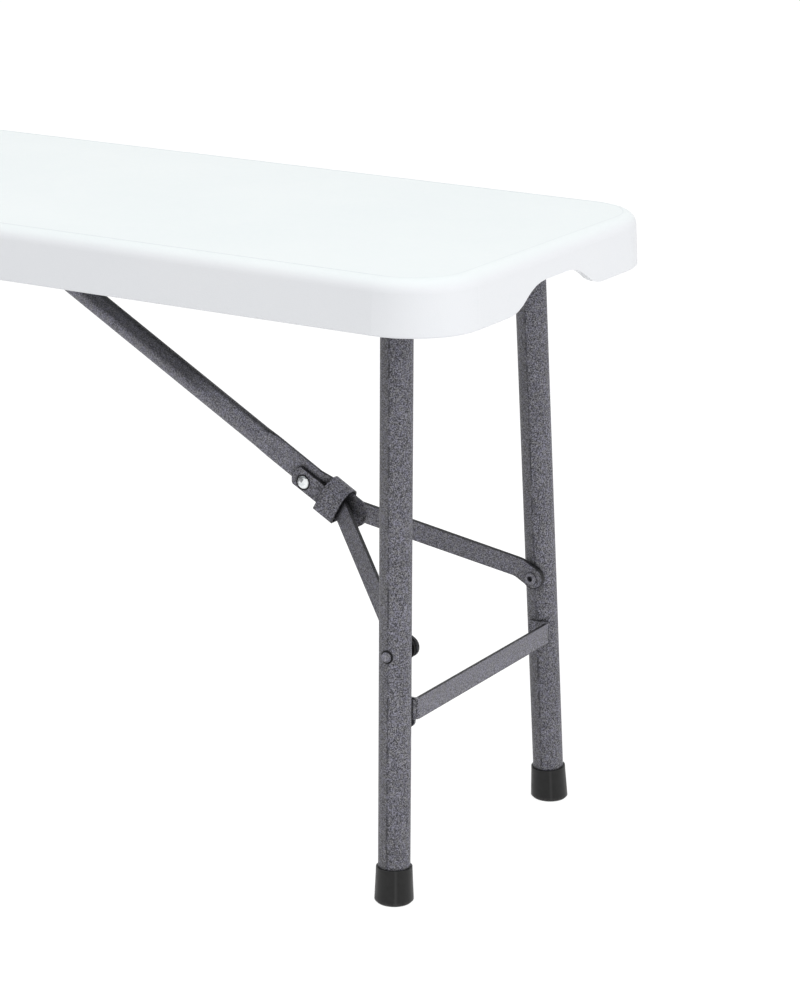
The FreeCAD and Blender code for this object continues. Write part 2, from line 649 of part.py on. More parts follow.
def headed_pin(diameter, head_diameter, head_height, half_grip):
    """Pin along Y with a domed head on each end."""
    head = dome(head_diameter / 2, head_height, half_grip)
    shank = y_cylinder(diameter / 2, 0, 0, -half_grip, half_grip)
    return shank.fuse([head, mirror_y(head)]).removeSplitter()


def knee_rivet():
    half_grip = BAR_Y + BAR_THICKNESS
    pin = headed_pin(KNEE_RIVET_DIAMETER, KNEE_HEAD_DIAMETER, KNEE_HEAD_HEIGHT, half_grip)
    return link_frame(pin, LOWER_ANGLE)


def bar_eyelets():
    """Tubular rivet ends that hold the bar ears, seen from between the legs."""
    inner_y = EAR_Y - BAR_THICKNESS
    flange = button(EYELET_FLANGE_DIAMETER / 2, EYELET_FLANGE_THICKNESS, LOWER_LENGTH, 0, -inner_y)
    shank = y_cylinder(LEG_RIVET_DIAMETER / 2, LOWER_LENGTH, 0, -EAR_Y, -inner_y)
    eyelet = flange.fuse(shank)
    eyelet = eyelet.cut(y_cylinder(EYELET_BORE / 2, LOWER_LENGTH, 0, -inner_y - EYELET_DEPTH, 0))
    return link_frame(Part.makeCompound(both_sides(eyelet)), LOWER_ANGLE)


def ring_prism(grow):
    """Block through the lock ring, larger than its opening by grow, with a half-round top."""
    half_y = BRACE_DIAMETER / 2 + RING_SIDE_PLAY + grow
    top = BRACE_RISE + BLADE_HEIGHT / 2 + SIDE_GAP + grow
    bottom = BAR_RISE - BAR_WIDTH / 2 - RING_DEPTH_BELOW - grow
    shoulder = top - half_y
    corner = RING_CORNER_RADIUS + grow
    bend = corner * (1 - math.sqrt(0.5))

    def at(y, z):
        return vec(RING_START, y, z)

    flat_y = half_y - corner
    mid_y = half_y - bend
    edges = [arc(at(-half_y, shoulder), at(0, top), at(half_y, shoulder))]
    edges.append(line(at(half_y, shoulder), at(half_y, bottom + corner)))
    edges.append(arc(at(half_y, bottom + corner), at(mid_y, bottom + bend), at(flat_y, bottom)))
    edges.append(line(at(flat_y, bottom), at(-flat_y, bottom)))
    edges.append(arc(at(-flat_y, bottom), at(-mid_y, bottom + bend), at(-half_y, bottom + corner)))
    edges.append(line(at(-half_y, bottom + corner), at(-half_y, shoulder)))
    return extrude(edges, X_AXIS * RING_LENGTH)


def lock_ring():
    """Sliding band round the knee that keeps the brace straight."""
    return link_frame(ring_prism(RING_WALL).cut(ring_prism(0)), UPPER_ANGLE)


def brace_bracket():
    """Clevis under the seat: a base plate with two lugs for the brace pin."""
    base = block(BRACKET_X - BRACKET_BACK, BRACKET_X + BRACKET_FRONT, -BRACKET_WIDTH / 2,
                 BRACKET_WIDTH / 2, DECK_BOTTOM - BRACKET_SHEET, DECK_BOTTOM)
    corners = [e for e in base.Edges if e.BoundBox.ZLength > CLOSE]
    base = base.makeFillet(2 * BRACKET_SHEET, corners)
    lug_end = BAR_Y + BRACKET_SHEET
    lug = y_cylinder(BRACKET_LUG_RADIUS, BRACKET_X, BRACKET_Z, BAR_Y, lug_end)
    lug = lug.fuse(block(BRACKET_X - BRACKET_LUG_RADIUS, BRACKET_X + BRACKET_LUG_RADIUS, BAR_Y, lug_end,
                         BRACKET_Z, DECK_BOTTOM - BRACKET_SHEET))
    bracket = base.fuse(both_sides(lug)).removeSplitter()
    bracket = bracket.cut(y_cylinder(BRACE_PIN_DIAMETER / 2, BRACKET_X, BRACKET_Z, -SEAT_WIDTH, SEAT_WIDTH))
    holes = [screw_hole(x, y) for x, y in bracket_screw_places(1)]
    return bracket.cut(Part.makeCompound(holes))


def bracket_pin():
    pin = headed_pin(BRACE_PIN_DIAMETER, PIN_HEAD_DIAMETER, PIN_HEAD_HEIGHT, BAR_Y + BRACKET_SHEET)
    pin.translate(vec(BRACKET_X, 0, BRACKET_Z))
    return pin


def end_nodes():
    """Every piece of the leg set at the +X end, by name."""
    nodes = {}
    nodes["front_hinge_plate"] = hinge_plate(-1)
    nodes["back_hinge_plate"] = hinge_plate(1)
    nodes["hinge_screws"] = screw_group(plate_screw_places(1), PLATE_THICKNESS)
    nodes["brace_bracket"] = brace_bracket()
    nodes["bracket_screws"] = screw_group(bracket_screw_places(1), BRACKET_SHEET)
    nodes["bracket_pin"] = bracket_pin()
    nodes["cross_tube"] = cross_tube()
    nodes["front_leg_tube"] = leg_tube(-1)
    nodes["back_leg_tube"] = leg_tube(1)
    nodes["cross_strip"] = cross_strip()
    nodes["front_foot_cap"] = foot_cap(-1)
    nodes["back_foot_cap"] = foot_cap(1)
    nodes["leg_rivets"] = leg_rivets()
    nodes["leg_spacers"] = leg_spacers()
    nodes["upper_brace"] = upper_brace()
    nodes["front_brace_bar"] = brace_bar(-1)
    nodes["back_brace_bar"] = brace_bar(1)
    nodes["knee_rivet"] = knee_rivet()
    nodes["bar_eyelets"] = bar_eyelets()
    nodes["lock_ring"] = lock_ring()
    return nodes


def main():
    os.makedirs("parts", exist_ok=True)
    nodes = {"seat_top": seat_top(), "front_rail": rail(-1), "back_rail": rail(1)}
    nodes["rail_screws"] = screw_group(rail_screw_places(), RAIL_SHEET)
    for name, shape in end_nodes().items():
        nodes["right_" + name] = shape
        nodes["left_" + name] = shape.mirror(ORIGIN, X_AXIS)
    for name, shape in nodes.items():
        shape.exportStep("parts/" + name + ".step")
        print(name, len(shape.Solids), "solids, valid:", shape.isValid())
    print("knee", round(KNEE_X, 3), round(KNEE_Z, 3), "link angles", UPPER_ANGLE, LOWER_ANGLE)


main()
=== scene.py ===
import json
import math

import bmesh
import bpy
from mathutils import Matrix, Vector


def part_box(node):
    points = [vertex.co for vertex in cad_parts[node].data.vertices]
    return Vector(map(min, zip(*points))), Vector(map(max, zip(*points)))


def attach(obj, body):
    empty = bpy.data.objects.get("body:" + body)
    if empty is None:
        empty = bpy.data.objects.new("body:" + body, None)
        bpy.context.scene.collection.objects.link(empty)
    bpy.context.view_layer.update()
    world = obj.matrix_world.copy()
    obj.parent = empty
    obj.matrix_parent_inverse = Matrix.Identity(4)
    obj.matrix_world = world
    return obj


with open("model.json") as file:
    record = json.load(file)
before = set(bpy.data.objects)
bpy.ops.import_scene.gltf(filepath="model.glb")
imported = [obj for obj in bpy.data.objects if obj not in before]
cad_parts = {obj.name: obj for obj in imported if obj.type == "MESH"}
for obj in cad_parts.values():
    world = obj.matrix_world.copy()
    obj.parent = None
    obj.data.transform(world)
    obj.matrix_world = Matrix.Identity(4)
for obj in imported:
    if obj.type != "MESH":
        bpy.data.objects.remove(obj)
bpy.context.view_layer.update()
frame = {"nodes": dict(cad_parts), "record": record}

# Everything is in metres and in the frame of the CAD: X runs along the seat, -Y is the front,
# and the floor is at Z = 0. Angles are degrees. A point's coordinates are read by these names.
X, Y, Z = 0, 1, 2

# The photograph's camera, fitted to the edges of the seat, legs and feet
CAMERA_PLACE = (1.8542, -1.7614, 0.8613)
CAMERA_YAW = 31.01
CAMERA_PITCH = 16.69
CAMERA_ROLL = 0.43
CAMERA_LENS = 111.0
CAMERA_SENSOR = 36.0
CAMERA_REACH = 50.0

# Fine line round the seat's flat field, a shallow groove whose darker tone is painted shade
SEAT_CORNER_RADIUS = 0.050
EDGE_LINE_INSET = 0.0112
EDGE_LINE_WIDTH = 0.0007
EDGE_LINE_DEPTH = 0.002
EDGE_LINE_AT_ENDS = 0.35

# Whites of the seat: each pair is the two tones of its faint clouds. The top's pair is cooler than the
# skirt's, a painted cast of the light that falls on the top.
SKIRT_WHITES = ((0.868, 0.885, 0.915, 1), (0.885, 0.900, 0.925, 1))
TOP_WHITES = ((0.828, 0.880, 0.886, 1), (0.850, 0.896, 0.900, 1))
SCUFFED_WHITE = (0.81, 0.85, 0.87, 1)
# Darker tone of the fine line, painted as the shade of a crease
EDGE_LINE_SHADE = (0.62, 0.67, 0.71, 1)
# Darker tone of the seat's gaps and corners, painted as shade
SEAT_GAP_SHADE = (0.45, 0.47, 0.50, 1)

# Hammered paint: size of its specks, and levels of the pale and dark ones
PAINT_GRAIN = 0.0009
TUBE_TONES = (0.290, 0.043)
# The blade's tones are darker, painted as the shade it lies in
BLADE_SHADE_TONES = (0.170, 0.014)
# Level of the rims that are painted dark as shade
RIM_SHADE_LEVEL = 0.007
SHADE_LEVEL = 0.012
SEAM_LEVEL = 0.025
PLAIN_TONE = (0.128, 0.126, 0.124, 1)

# Seam that runs down a leg, and painted highlight that runs down a foot cap, as the share of X in the
# way that the surface looks
LEG_SEAM_FACING = 0.08
FOOT_HIGHLIGHT_FACING = 0.58

# Places from the middle of the bench: where the seat's shade on the brace tube starts to fade and
# ends, where the brace's blade comes out of the lock ring, and where the cross strip's ears start
SHADE_FADE = 0.622
SHADE_END = 0.650
BLADE_START = 0.7465
EAR_START = 0.0890

# Tubes of a leg set
LEG_RADIUS = 0.011
CROSS_RADIUS = 0.0095

# Weld beads: radius, ripple, and the share of the radius that is left at their ends
WELD_RADIUS = 0.0014
WEDGE_WELD_RADIUS = 0.0021
WELD_RIPPLE = 0.14
WELD_END = 0.45
BEAD_SIDES = 10

# Bead round the cross tube: how much of its width it covers, and points on each half
SADDLE_SHARE = 0.93
SADDLE_STEPS = 8

# Bead at the edge of a cross strip's ear, from the leg's centre line and from the strip's box
EAR_EDGE = 0.0045
EAR_BEAD_TOP = 0.002
EAR_BEAD_SHORTER = 0.009
EAR_BEAD_STEPS = 10

# Bead in the wedge between a leg and the strip's bend, from the same lines
WEDGE_OUT = 0.0086
WEDGE_IN = 0.0092
WEDGE_TOP = 0.0008
WEDGE_LENGTH = 0.014
WEDGE_STEPS = 9

# Dark rings round the rivet heads, just clear of them, painted as the shadow in the gap under each
# head, and the height of the knee rivet's head
SHADOW_RING_RADIUS = 0.00045
LEG_SHADOW_RING = 0.0041
KNEE_SHADOW_RING = 0.0053
KNEE_HEAD = 0.0022
CIRCLE_STEPS = 32

# Floor and world. The camera, gloss and glass see both as white.
FLOOR_SIZE = 30.0
FLOOR_TONE = (0.92, 0.92, 0.92, 1)
FLOOR_WHITE = 0.80
FLOOR_GLOW = 1.16
WORLD_LEVEL = 0.54

# Soft lamps, which all look at one point
LAMP_TARGET = (0.6, 0.0, 0.3)
OVERHEAD_PLACE = (0.4, -0.6, 3.0)
OVERHEAD_SIZE = (4.0, 2.6)
OVERHEAD_WATTS = 45.5
SIDE_PLACE = (3.6, -0.6, 1.4)
SIDE_SIZE = (1.8, 1.6)
SIDE_WATTS = 25.0

NODE_SLOT = {s["node"]: s["material_slot"] for s in frame["record"]["subparts"]}


def linked(name, data):
    """New object in the scene that holds this mesh, camera or lamp."""
    thing = bpy.data.objects.new(name, data)
    bpy.context.scene.collection.objects.link(thing)
    return thing


def make_camera():
    """Camera at the photograph's place, turned by yaw, then pitch, then roll."""
    yaw = math.radians(CAMERA_YAW)
    pitch = math.radians(CAMERA_PITCH)
    roll = math.radians(CAMERA_ROLL)
    level_reach = math.cos(pitch)
    forward = Vector((-math.sin(yaw) * level_reach, math.cos(yaw) * level_reach, -math.sin(pitch)))
    level = Vector((math.cos(yaw), math.sin(yaw), 0.0))
    upright = level.cross(forward)
    right = level * math.cos(roll) + upright * math.sin(roll)
    up = upright * math.cos(roll) - level * math.sin(roll)
    data = bpy.data.cameras.new("camera")
    data.sensor_width = CAMERA_SENSOR
    data.sensor_fit = "AUTO"
    data.lens = CAMERA_LENS
    data.clip_end = CAMERA_REACH
    camera = linked("camera", data)
    turn = Matrix((right, up, -forward)).transposed().to_4x4()
    camera.matrix_world = Matrix.Translation(CAMERA_PLACE) @ turn
    bpy.context.scene.camera = camera


class Nodes:
    """Short way to build the node tree of one material."""

    # Sockets of a Mix node that mixes colours
    FACTOR, FIRST, SECOND, RESULT = 0, 6, 7, 2

    def __init__(self, name):
        self.material = bpy.data.materials.new(name)
        self.material.use_nodes = True
        self.tree = self.material.node_tree
        self.shader = self.tree.nodes["Principled BSDF"]
        self.output = self.tree.nodes["Material Output"]
        places = self.add("ShaderNodeTexCoord").outputs
        self.coords = places["Object"]
        self.place = self.add("ShaderNodeSeparateXYZ", {0: self.coords}).outputs
        self.facing = self.add("ShaderNodeSeparateXYZ", {0: places["Normal"]}).outputs

    def put(self, socket, value):
        if isinstance(value, bpy.types.NodeSocket):
            self.tree.links.new(value, socket)
        else:
            socket.default_value = value

    def add(self, kind, inputs=None, **settings):
        node = self.tree.nodes.new(kind)
        for key, value in settings.items():
            setattr(node, key, value)
        for key, value in (inputs or {}).items():
            self.put(node.inputs[key], value)
        return node

    def set(self, **values):
        """Set inputs of the shader, named with _ for a space."""
        for key, value in values.items():
            self.put(self.shader.inputs[key.replace("_", " ")], value)

    def noise(self, scale, detail=3.0, roughness=0.55):
        inputs = {"Vector": self.coords, "Scale": scale, "Detail": detail, "Roughness": roughness}
        return self.add("ShaderNodeTexNoise", inputs).outputs["Fac"]

    def spread(self, fac, low, high, to_low=0.0, to_high=1.0):
        """Value that goes from to_low to to_high while fac goes from low to high."""
        inputs = {"Value": fac, "From Min": low, "From Max": high, "To Min": to_low, "To Max": to_high}
        return self.add("ShaderNodeMapRange", inputs).outputs["Result"]

    def blend(self, fac, first, second):
        node = self.add("ShaderNodeMix", data_type="RGBA")
        self.put(node.inputs[self.FACTOR], fac)
        self.put(node.inputs[self.FIRST], first)
        self.put(node.inputs[self.SECOND], second)
        return node.outputs[self.RESULT]

    def maths(self, operation, first, second=0.0):
        node = self.add("ShaderNodeMath", {0: first, 1: second}, operation=operation)
        return node.outputs[0]

    def times(self, first, second):
        return self.maths("MULTIPLY", first, second)

    def apart(self, first, second):
        """How far two values are from each other."""
        return self.maths("ABSOLUTE", self.maths("SUBTRACT", first, second))

    def vector(self, operation, first, second):
        return self.add("ShaderNodeVectorMath", {0: first, 1: second}, operation=operation)

    def bump(self, height, strength, distance, under=None):
        """Normal of a relief, on top of another normal if one is given."""
        inputs = {"Height": height, "Strength": strength, "Distance": distance}
        if under is not None:
            inputs["Normal"] = under
        return self.add("ShaderNodeBump", inputs).outputs["Normal"]

    def rounded(self, radius, sharp=0.80):
        """Normal that turns softly over edges, and a mask that is 1 on them and 0 on flats."""
        soft = self.add("ShaderNodeBevel", {"Radius": radius}, samples=6).outputs["Normal"]
        plain = self.add("ShaderNodeNewGeometry").outputs["Normal"]
        likeness = self.vector("DOT_PRODUCT", soft, plain).outputs["Value"]
        return soft, self.spread(likeness, 0.99, sharp)

    def crevice_shade(self, reach):
        """Mask that is 1 deep in gaps and corners narrower than reach, and 0 in the open, used to paint
        shade into them.
        """
        open_sky = self.add("ShaderNodeAmbientOcclusion", {"Distance": reach}, samples=8).outputs["AO"]
        return self.spread(open_sky, 0.45, 0.92, 1.0, 0.0)


def grey(level, blue=1.12):
    """Colour of this level that leans slightly to blue."""
    return (level, level * 0.985, level * blue, 1)


def seat_edge_line(m):
    """Mask of the fine line round the seat's flat field, a rounded rectangle, fainter at the ends."""
    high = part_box("seat_top")[1]
    x, y, z = m.place
    past_x = m.maths("SUBTRACT", m.maths("ABSOLUTE", x), high[X] - SEAT_CORNER_RADIUS)
    past_y = m.maths("SUBTRACT", m.maths("ABSOLUTE", y), high[Y] - SEAT_CORNER_RADIUS)
    outside = {0: m.maths("MAXIMUM", past_x, 0.0), 1: m.maths("MAXIMUM", past_y, 0.0)}
    corner = m.add("ShaderNodeCombineXYZ", outside)
    beyond = m.vector("LENGTH", corner.outputs[0], (0, 0, 0)).outputs["Value"]
    within = m.maths("MINIMUM", m.maths("MAXIMUM", past_x, past_y), 0.0)
    inset = m.maths("SUBTRACT", SEAT_CORNER_RADIUS, m.maths("ADD", beyond, within))
    off = m.apart(inset, EDGE_LINE_INSET)
    on_top = m.spread(z, high[Z] - EDGE_LINE_DEPTH - 0.001, high[Z] - EDGE_LINE_DEPTH)
    strength = m.spread(past_x, -0.01, 0.02, 1.0, EDGE_LINE_AT_ENDS)
    line = m.times(m.spread(off, 0.0, EDGE_LINE_WIDTH, 1.0, 0.0), on_top)
    return m.times(line, strength)


def seat_plastic():
    """White blow-moulded polyethylene: satin, faintly pebbled and cloudy, with a cooler cast of light
    painted on its top.
    """
    m = Nodes("seat_plastic")
    line = seat_edge_line(m)
    cloud = m.spread(m.noise(7.0, 4.0), 0.35, 0.65)
    skirt = m.blend(cloud, *SKIRT_WHITES)
    top = m.blend(cloud, *TOP_WHITES)
    # Painted light: the top takes the cooler whites of the light that falls on it
    tone = m.blend(m.spread(m.facing[Z], 0.35, 0.95), skirt, top)
    scuffs = m.spread(m.noise(90.0, 3.0, 0.6), 0.62, 0.80, 0.0, 0.3)
    tone = m.blend(scuffs, tone, SCUFFED_WHITE)
    # Painted shade: the fine line is darkened, on top of its groove in the relief
    tone = m.blend(line, tone, EDGE_LINE_SHADE)
    # Painted shade in the seat's gaps and corners
    tone = m.blend(m.times(m.crevice_shade(0.006), 0.5), tone, SEAT_GAP_SHADE)
    rough = m.spread(m.noise(240.0, 3.0), 0.3, 0.7, 0.34, 0.46)
    pebble = m.spread(m.noise(1300.0, 2.0, 0.5), 0.3, 0.7, 0.0, 0.10)
    waves = m.spread(m.noise(16.0, 2.0, 0.4), 0.3, 0.7, 0.0, 0.5)
    height = m.maths("SUBTRACT", m.maths("ADD", pebble, waves), line)
    m.set(Base_Color=tone, Roughness=rough, Specular_IOR_Level=0.2, IOR=1.5)
    m.set(Normal=m.bump(height, 0.6, 0.0004))
    return m.material


def speckled(m, pale, dark):
    """Colour and height of hammered paint, and the mask of its specks.

    It is a maze of specks with dark pits and a few bright glints, in tones that drift slowly."""
    speck = m.spread(m.noise(1.0 / PAINT_GRAIN, 2.0, 0.6), 0.41, 0.60)
    pits = m.spread(m.noise(0.55 / PAINT_GRAIN, 1.0), 0.58, 0.70, 0.0, 0.6)
    glints = m.spread(m.noise(1.5 / PAINT_GRAIN, 1.0), 0.60, 0.72, 0.0, 0.6)
    drift = m.spread(m.noise(14.0, 3.0), 0.35, 0.65, 0.0, 0.2)
    tint = m.spread(m.noise(0.3 / PAINT_GRAIN, 2.0), 0.40, 0.60)
    tone = m.blend(speck, grey(dark), m.blend(tint, grey(pale, 1.04), grey(pale, 1.24)))
    tone = m.blend(pits, tone, grey(dark * 0.6))
    tone = m.blend(glints, tone, grey(pale * 2.2))
    tone = m.blend(drift, tone, grey(dark * 1.5))
    return tone, m.maths("SUBTRACT", speck, pits), speck


def painted_rim_shade(axis, low, high):
    """Mark for faces that look along an axis, painted dark as shade."""
    def mark(m, tone):
        thin = m.spread(m.maths("ABSOLUTE", m.facing[axis]), low, high, 0.0, 0.92)
        return m.blend(thin, tone, grey(RIM_SHADE_LEVEL))
    return mark


def other_specks(axis, start, tones):
    """Mark for the stretch past this distance along an axis, painted with specks of other tones."""
    def mark(m, tone):
        past = m.spread(m.maths("ABSOLUTE", m.place[axis]), start, start + 0.001)
        return m.blend(past, tone, speckled(m, *tones)[0])
    return mark


def seat_shade(m, tone):
    """Mark for the brace tube's upper side, darker where the seat hangs over it."""
    upper = m.spread(m.facing[Z], 0.0, 0.40)
    near_seat = m.spread(m.maths("ABSOLUTE", m.place[X]), SHADE_END, SHADE_FADE, 0.0, 0.68)
    return m.blend(m.times(upper, near_seat), tone, grey(SHADE_LEVEL))


def tube_seam(m, tone):
    """Mark for the front of a leg: the broken dark line of its weld, and a plainer side by it."""
    front = m.spread(m.facing[Y], 0.0, -0.3)
    beside = m.spread(m.facing[X], LEG_SEAM_FACING, LEG_SEAM_FACING - 0.1, 0.0, 0.3)
    tone = m.blend(m.times(front, beside), tone, PLAIN_TONE)
    line = m.times(front, m.spread(m.apart(m.facing[X], LEG_SEAM_FACING), 0.02, 0.09, 1.0, 0.0))
    broken = m.spread(m.noise(120.0, 3.0), 0.40, 0.60, 0.1, 0.75)
    return m.blend(m.times(line, broken), tone, grey(SEAM_LEVEL))


def hammered_paint(name, tones, relief, edge_width=0.0009, reach=0.004, marks=()):
    """Hammered powder coat with painted shade on its edges and in its gaps, and the marks of the piece
    it is on.
    """
    dark = tones[1]
    m = Nodes(name)
    tone, height, speck = speckled(m, *tones)
    edge = m.rounded(edge_width, 0.93)[1]
    # Painted shade: edges are darkened
    tone = m.blend(m.times(edge, 0.9), tone, grey(dark * 0.15))
    for mark in marks:
        tone = mark(m, tone)
    # Painted shade in gaps and corners
    tone = m.blend(m.times(m.crevice_shade(reach), 0.9), tone, grey(dark * 0.1))
    rough = m.spread(speck, 0.0, 1.0, 0.60, 0.42)
    m.set(Base_Color=tone, Roughness=rough, Metallic=0.15, IOR=1.5, Specular_IOR_Level=0.35)
    m.set(Normal=m.bump(height, relief, 0.0003))
    return m.material


def foot_rubber():
    """Black rubber with faint dust, paler in patches along its sole, with painted highlights on its
    edges and down its front, and painted shade in its gaps.
    """
    m = Nodes("foot_rubber")
    soft, edge = m.rounded(0.0010)
    dust = m.spread(m.noise(160.0, 4.0), 0.4, 0.75, 0.0, 0.6)
    near_floor = m.spread(m.place[Z], 0.0008, 0.0035, 1.0, 0.0)
    pale_near_floor = m.times(near_floor, m.spread(m.noise(420.0, 3.0), 0.35, 0.6))
    off = m.apart(m.facing[X], FOOT_HIGHLIGHT_FACING)
    line = m.times(m.spread(m.facing[Y], 0.0, -0.3), m.spread(off, 0.01, 0.09, 0.28, 0.0))
    tone = m.blend(dust, (0.009, 0.009, 0.009, 1), (0.020, 0.020, 0.020, 1))
    tone = m.blend(m.times(pale_near_floor, 0.6), tone, (0.085, 0.083, 0.080, 1))
    # Painted highlight: rounded edges are lighter
    tone = m.blend(m.times(edge, 0.5), tone, (0.055, 0.055, 0.056, 1))
    # Painted highlight: a lighter line down the front
    tone = m.blend(line, tone, (0.070, 0.070, 0.070, 1))
    # Painted shade in gaps and corners
    tone = m.blend(m.crevice_shade(0.003), tone, (0.003, 0.003, 0.003, 1))
    rough = m.spread(dust, 0.0, 0.6, 0.38, 0.54)
    m.set(Base_Color=tone, Roughness=rough, Specular_IOR_Level=0.3, IOR=1.5)
    m.set(Normal=m.bump(m.noise(1100.0, 2.0), 0.15, 0.0002, soft))
    return m.material


def zinc_steel(name, spots):
    """Bright zinc plate, lightly stained, with dark spots this strong as painted reflections, edges
    darkened as painted reflection, and painted shade in its gaps.
    """
    m = Nodes(name)
    soft, edge = m.rounded(0.0005)
    stain = m.spread(m.noise(300.0, 4.0), 0.35, 0.7)
    # Painted reflection: dark spots where the plate would mirror something dark
    spot = m.spread(m.noise(230.0, 1.0), 0.56, 0.64, 0.0, spots)
    tone = m.blend(stain, (0.68, 0.71, 0.72, 1), (0.93, 0.95, 0.95, 1))
    tone = m.blend(spot, tone, (0.12, 0.12, 0.13, 1))
    # Painted reflection: edges darkened as if mirroring darker surroundings
    tone = m.blend(edge, tone, (0.42, 0.43, 0.45, 1))
    # Painted shade in gaps and corners
    tone = m.blend(m.times(m.crevice_shade(0.003), 0.95), tone, (0.02, 0.02, 0.02, 1))
    rough = m.spread(m.noise(700.0, 2.0), 0.3, 0.7, 0.16, 0.28)
    m.set(Base_Color=tone, Metallic=1.0, Roughness=rough)
    m.set(Normal=m.bump(m.noise(900.0, 2.0), 0.04, 0.0001, soft))
    return m.material


def black_plastic():
    """Black nylon with a dull moulded surface."""
    m = Nodes("black_plastic")
    cloud = m.spread(m.noise(500.0), 0.3, 0.7)
    tone = m.blend(cloud, (0.004, 0.004, 0.004, 1), (0.010, 0.010, 0.010, 1))
    rough = m.spread(m.noise(800.0, 2.0), 0.3, 0.7, 0.55, 0.70)
    m.set(Base_Color=tone, Roughness=rough, Specular_IOR_Level=0.3)
    m.set(Normal=m.bump(m.noise(1500.0, 2.0), 0.1, 0.0001))
    return m.material


def steel_finishes():
    """Finish of each kind of painted steel and of the bright rivet, by how its node's name ends.

    Pressed and flat steel is smoother than the tubes, and its cut edges look along one axis. Faces that
    look along such an axis are painted dark as shade."""
    leg = hammered_paint("hammered_leg", TUBE_TONES, relief=0.8, marks=[tube_seam])
    # The bar's edges, which look across its faces, are painted dark as shade
    bar = hammered_paint("hammered_flat", (0.245, 0.058), relief=0.5, edge_width=0.0010, reach=0.006,
                         marks=[painted_rim_shade(Y, 0.65, 0.45)])
    # The ring's rims are painted dark as shade
    ring = hammered_paint("hammered_ring", (0.270, 0.045), relief=0.6,
                          marks=[painted_rim_shade(X, 0.60, 0.80)])
    # On the brace, the faces that look up and down and the blade past the lock ring are painted darker
    # as shade, on top of the seat's shade
    brace = hammered_paint("hammered_brace", (0.310, 0.100), relief=0.6, reach=0.008,
                           marks=[seat_shade, painted_rim_shade(Z, 0.76, 0.88),
                                  other_specks(X, BLADE_START, BLADE_SHADE_TONES)])
    # Painted reflection: the strip's tones are paler than the tubes' and stand in for the bright floor
    # and backdrop mirrored in its flat faces. Its ears keep the tubes' tones, and its rims that look up
    # and down are painted shade.
    strip = hammered_paint("hammered_strip", (0.265, 0.100), relief=0.3, edge_width=0.0010, reach=0.003,
                           marks=[painted_rim_shade(Z, 0.60, 0.80), other_specks(Y, EAR_START, TUBE_TONES)])
    # Painted highlight: rivet heads and eyelets are paler than the tubes' coat, which is the same paint
    rivet = hammered_paint("hammered_rivet", (0.320, 0.140), relief=0.3, edge_width=0.0012, reach=0.003)
    bright = zinc_steel("zinc_rivet", spots=0.8)
    return {"leg_tube": leg, "brace_bar": bar, "lock_ring": ring, "bar_eyelets": rivet,
            "upper_brace": brace, "cross_strip": strip, "leg_rivets": rivet, "knee_rivet": bright}


def paint_nodes(tube):
    """Give every CAD node its finish: its kind's own, or else the one of its material slot."""
    by_slot = {"seat_plastic": seat_plastic(), "foot_rubber": foot_rubber(),
               "zinc_steel": zinc_steel("zinc_steel", spots=0.12), "black_plastic": black_plastic(),
               "hammered_paint": tube}
    by_kind = steel_finishes()
    for name, piece in frame["nodes"].items():
        kind = next((end for end in by_kind if name.endswith(end)), None)
        piece.data.materials.clear()
        piece.data.materials.append(by_kind[kind] if kind else by_slot[NODE_SLOT[name]])


def leg_line(end, side):
    """Hinge point and direction of one leg, from the frame's joint, foot and tube."""
    joints = frame["record"]["behaviour"]["joints"]
    mounts = frame["record"]["mounts"]
    hinge = next(j for j in joints if j["name"] == end + "_leg_fold")["pos_m"]
    foot = next(m for m in mounts if m["name"] == end + "_" + side + "_foot")["pos_m"]
    low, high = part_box(end + "_" + side + "_leg_tube")
    inner = min(abs(low[Y]), abs(high[Y])) + LEG_RADIUS
    top = Vector((hinge[X], math.copysign(inner, foot[Y]), hinge[Z]))
    return top, (Vector(foot) - top).normalized()


def at_height(top, down, z):
    """Point of a leg's centre line at this height."""
    return top + down * ((top.z - z) / -down.z)


def saddle_path(end, side):
    """Line where a leg meets the cross tube, on the side towards the middle of the seat."""
    top, down = leg_line(end, side)
    inward = -math.copysign(1.0, top.y)
    path = []
    for step in range(-SADDLE_STEPS, SADDLE_STEPS + 1):
        x = SADDLE_SHARE * CROSS_RADIUS * math.sin(math.radians(90 * step / SADDLE_STEPS))
        drop = math.sqrt(CROSS_RADIUS ** 2 - x ** 2)
        across = math.sqrt(LEG_RADIUS ** 2 - x ** 2)
        path.append(top + down * drop + Vector((x, inward * across, 0)))
    return path


def ear_path(end, side):
    """Line down the edge of the cross strip's ear, against the leg."""
    top, down = leg_line(end, side)
    low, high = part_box(end + "_cross_strip")
    offset = Vector((-math.copysign(EAR_EDGE, top.x), -math.copysign(LEG_RADIUS, top.y), 0))
    start = high[Z] - EAR_BEAD_TOP
    length = high[Z] - low[Z] - EAR_BEAD_SHORTER
    steps = range(EAR_BEAD_STEPS + 1)
    return [at_height(top, down, start - length * step / EAR_BEAD_STEPS) + offset for step in steps]


def wedge_path(end, side):
    """Line down the narrow gap between the leg and the bend of the cross strip."""
    top, down = leg_line(end, side)
    offset = Vector((math.copysign(WEDGE_OUT, top.x), -math.copysign(WEDGE_IN, top.y), 0))
    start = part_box(end + "_cross_strip")[1][Z] - WEDGE_TOP
    steps = range(WEDGE_STEPS + 1)
    return [at_height(top, down, start - WEDGE_LENGTH * step / WEDGE_STEPS) + offset for step in steps]


